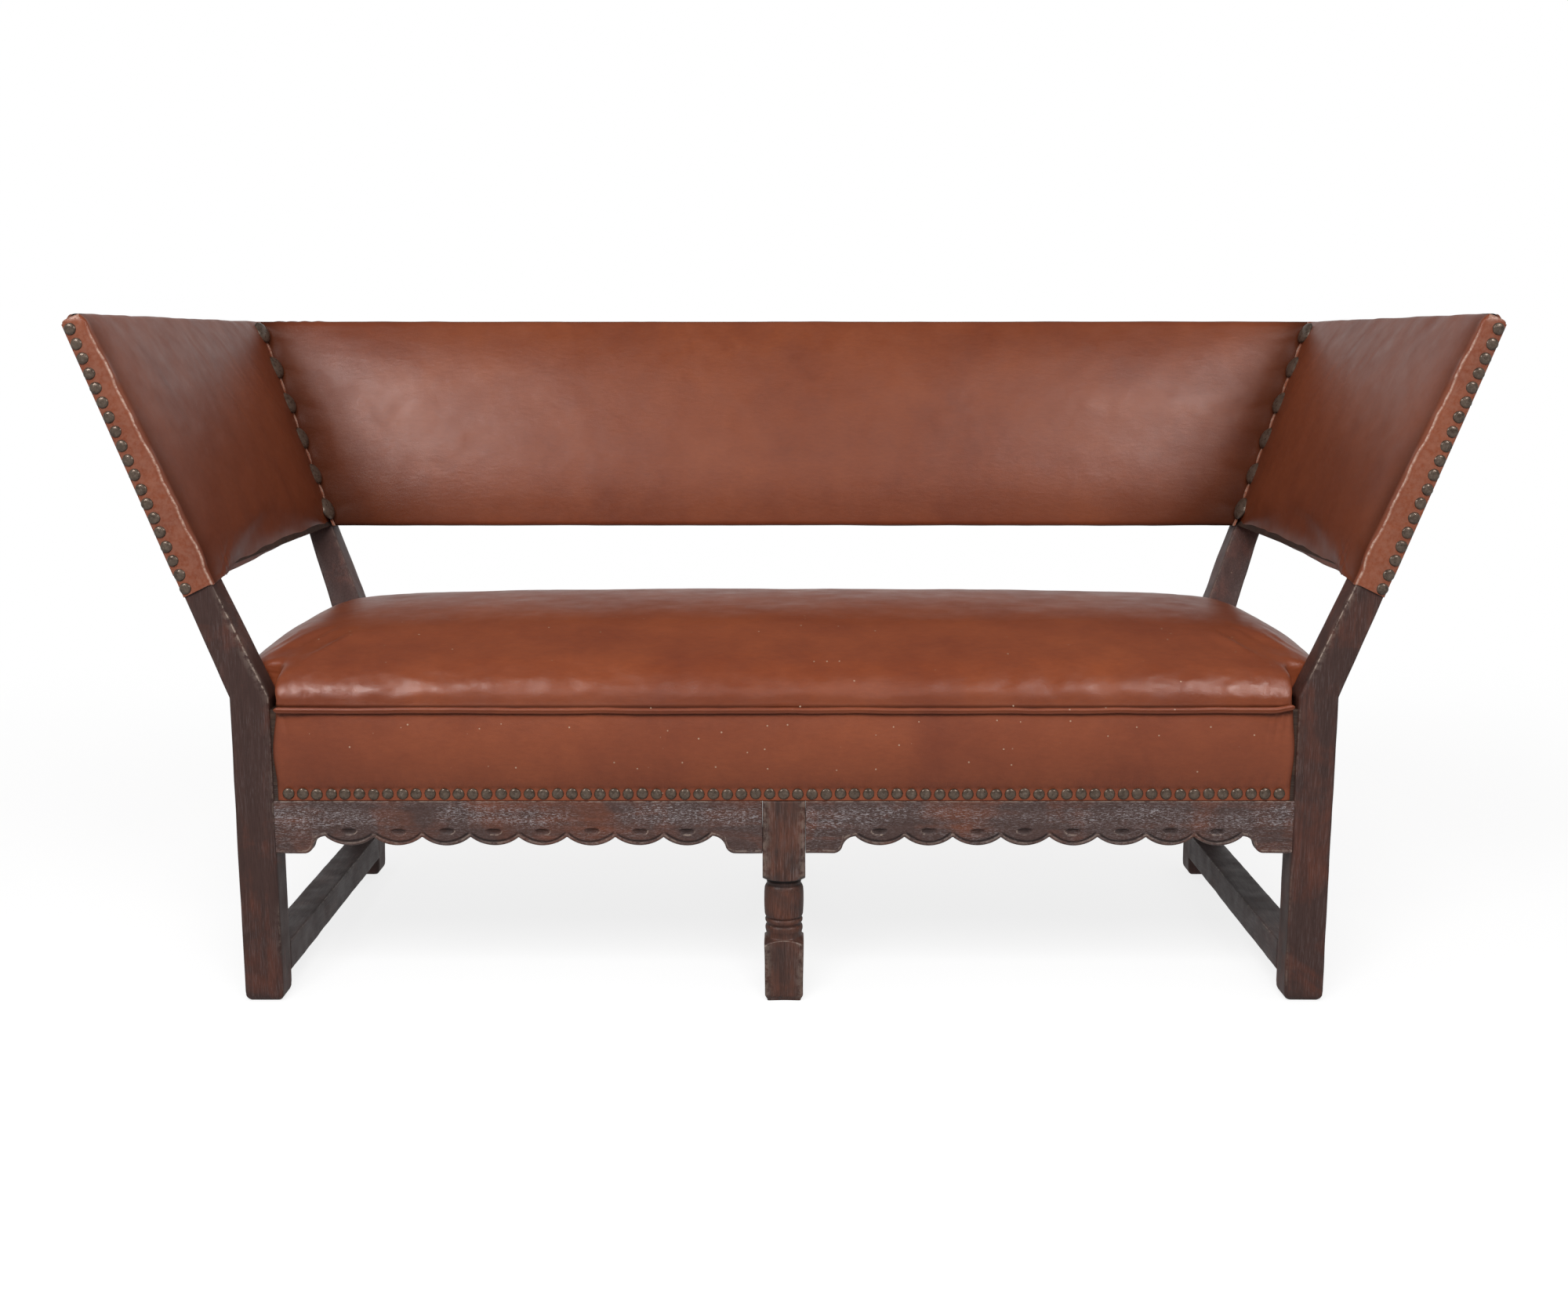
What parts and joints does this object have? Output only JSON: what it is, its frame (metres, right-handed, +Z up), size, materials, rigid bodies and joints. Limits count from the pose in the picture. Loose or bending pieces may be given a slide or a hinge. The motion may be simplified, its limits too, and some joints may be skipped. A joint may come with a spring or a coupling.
{
  "type": "settee",
  "caption": "Long joined settee with outward-leaning upholstered arms and back, a crowned leather seat, nailed edges and a scalloped apron.",
  "frame": {"origin": "middle of the settee's outline on the floor", "axes": "+Z up, -Y towards the front, +X to the right as seen from the front"},
  "size_m": [1.9046, 0.8495, 0.947],
  "materials": {
    "oak_posts": "dark stained oak, waxed, worn edges",
    "oak_apron": "dark stained oak with pale open grain",
    "oak_turned": "dark stained turned oak",
    "oak_stretchers": "dark stained oak",
    "oak_hidden": "bare frame wood",
    "nail_bronze": "antique bronze domed heads",
    "leather_seat": "saddle brown hide, satin",
    "leather_band": "saddle brown hide, satin",
    "leather_arms": "saddle brown hide, satin",
    "leather_back": "saddle brown hide, satin",
    "leather_outside": "saddle brown hide, satin",
    "stuffing": "hair and cotton stuffing",
    "jute": "jute webbing and hessian",
    "black_cambric": "black cotton cambric",
    "spring_steel": "coppered steel wire and screws"
  },
  "bodies": {
    "root": {"apron_left": "oak_apron", "apron_right": "oak_apron", "arm_bottom_rail_left": "oak_hidden", "arm_bottom_rail_right": "oak_hidden", "arm_cover_left": "leather_arms", "arm_cover_right": "leather_arms", "arm_nails_left": "nail_bronze", "arm_nails_right": "nail_bronze", "arm_rear_stile_left": "oak_hidden", "arm_rear_stile_right": "oak_hidden", "arm_stuffing_left": "stuffing", "arm_stuffing_right": "stuffing", "arm_top_rail_left": "oak_hidden", "arm_top_rail_right": "oak_hidden", "back_bottom_rail": "oak_hidden", "back_centre_stile": "oak_hidden", "back_cover": "leather_back", "back_stuffing": "stuffing", "back_top_rail": "oak_hidden", "block_screws": "spring_steel", "corner_blocks": "oak_hidden", "corner_nails_left": "nail_bronze", "corner_nails_right": "nail_bronze", "corner_strip_left": "leather_arms", "corner_strip_right": "leather_arms", "dust_cover": "black_cambric", "front_centre_leg": "oak_turned", "front_post_left": "oak_posts", "front_post_right": "oak_posts", "front_seat_rail": "oak_hidden", "hessian_deck": "jute", "outside_arm_left": "leather_outside", "outside_arm_right": "leather_outside", "outside_back": "leather_outside", "outside_back_nails": "nail_bronze", "rear_centre_leg": "oak_turned", "rear_post_left": "oak_posts", "rear_post_right": "oak_posts", "rear_seat_rail": "oak_hidden", "seat_band_front": "leather_band", "seat_band_left": "leather_band", "seat_band_rear": "leather_band", "seat_band_right": "leather_band", "seat_cover": "leather_seat", "seat_nails_front": "nail_bronze", "seat_nails_left": "nail_bronze", "seat_nails_rear": "nail_bronze", "seat_nails_right": "nail_bronze", "seat_springs": "spring_steel", "seat_stuffing": "stuffing", "seat_welt": "leather_band", "side_seat_rail_left": "oak_hidden", "side_seat_rail_right": "oak_hidden", "side_stretcher_left": "oak_stretchers", "side_stretcher_right": "oak_stretchers", "webbing_front_to_back": "jute", "webbing_side_to_side": "jute"}
  },
  "joints": []
}
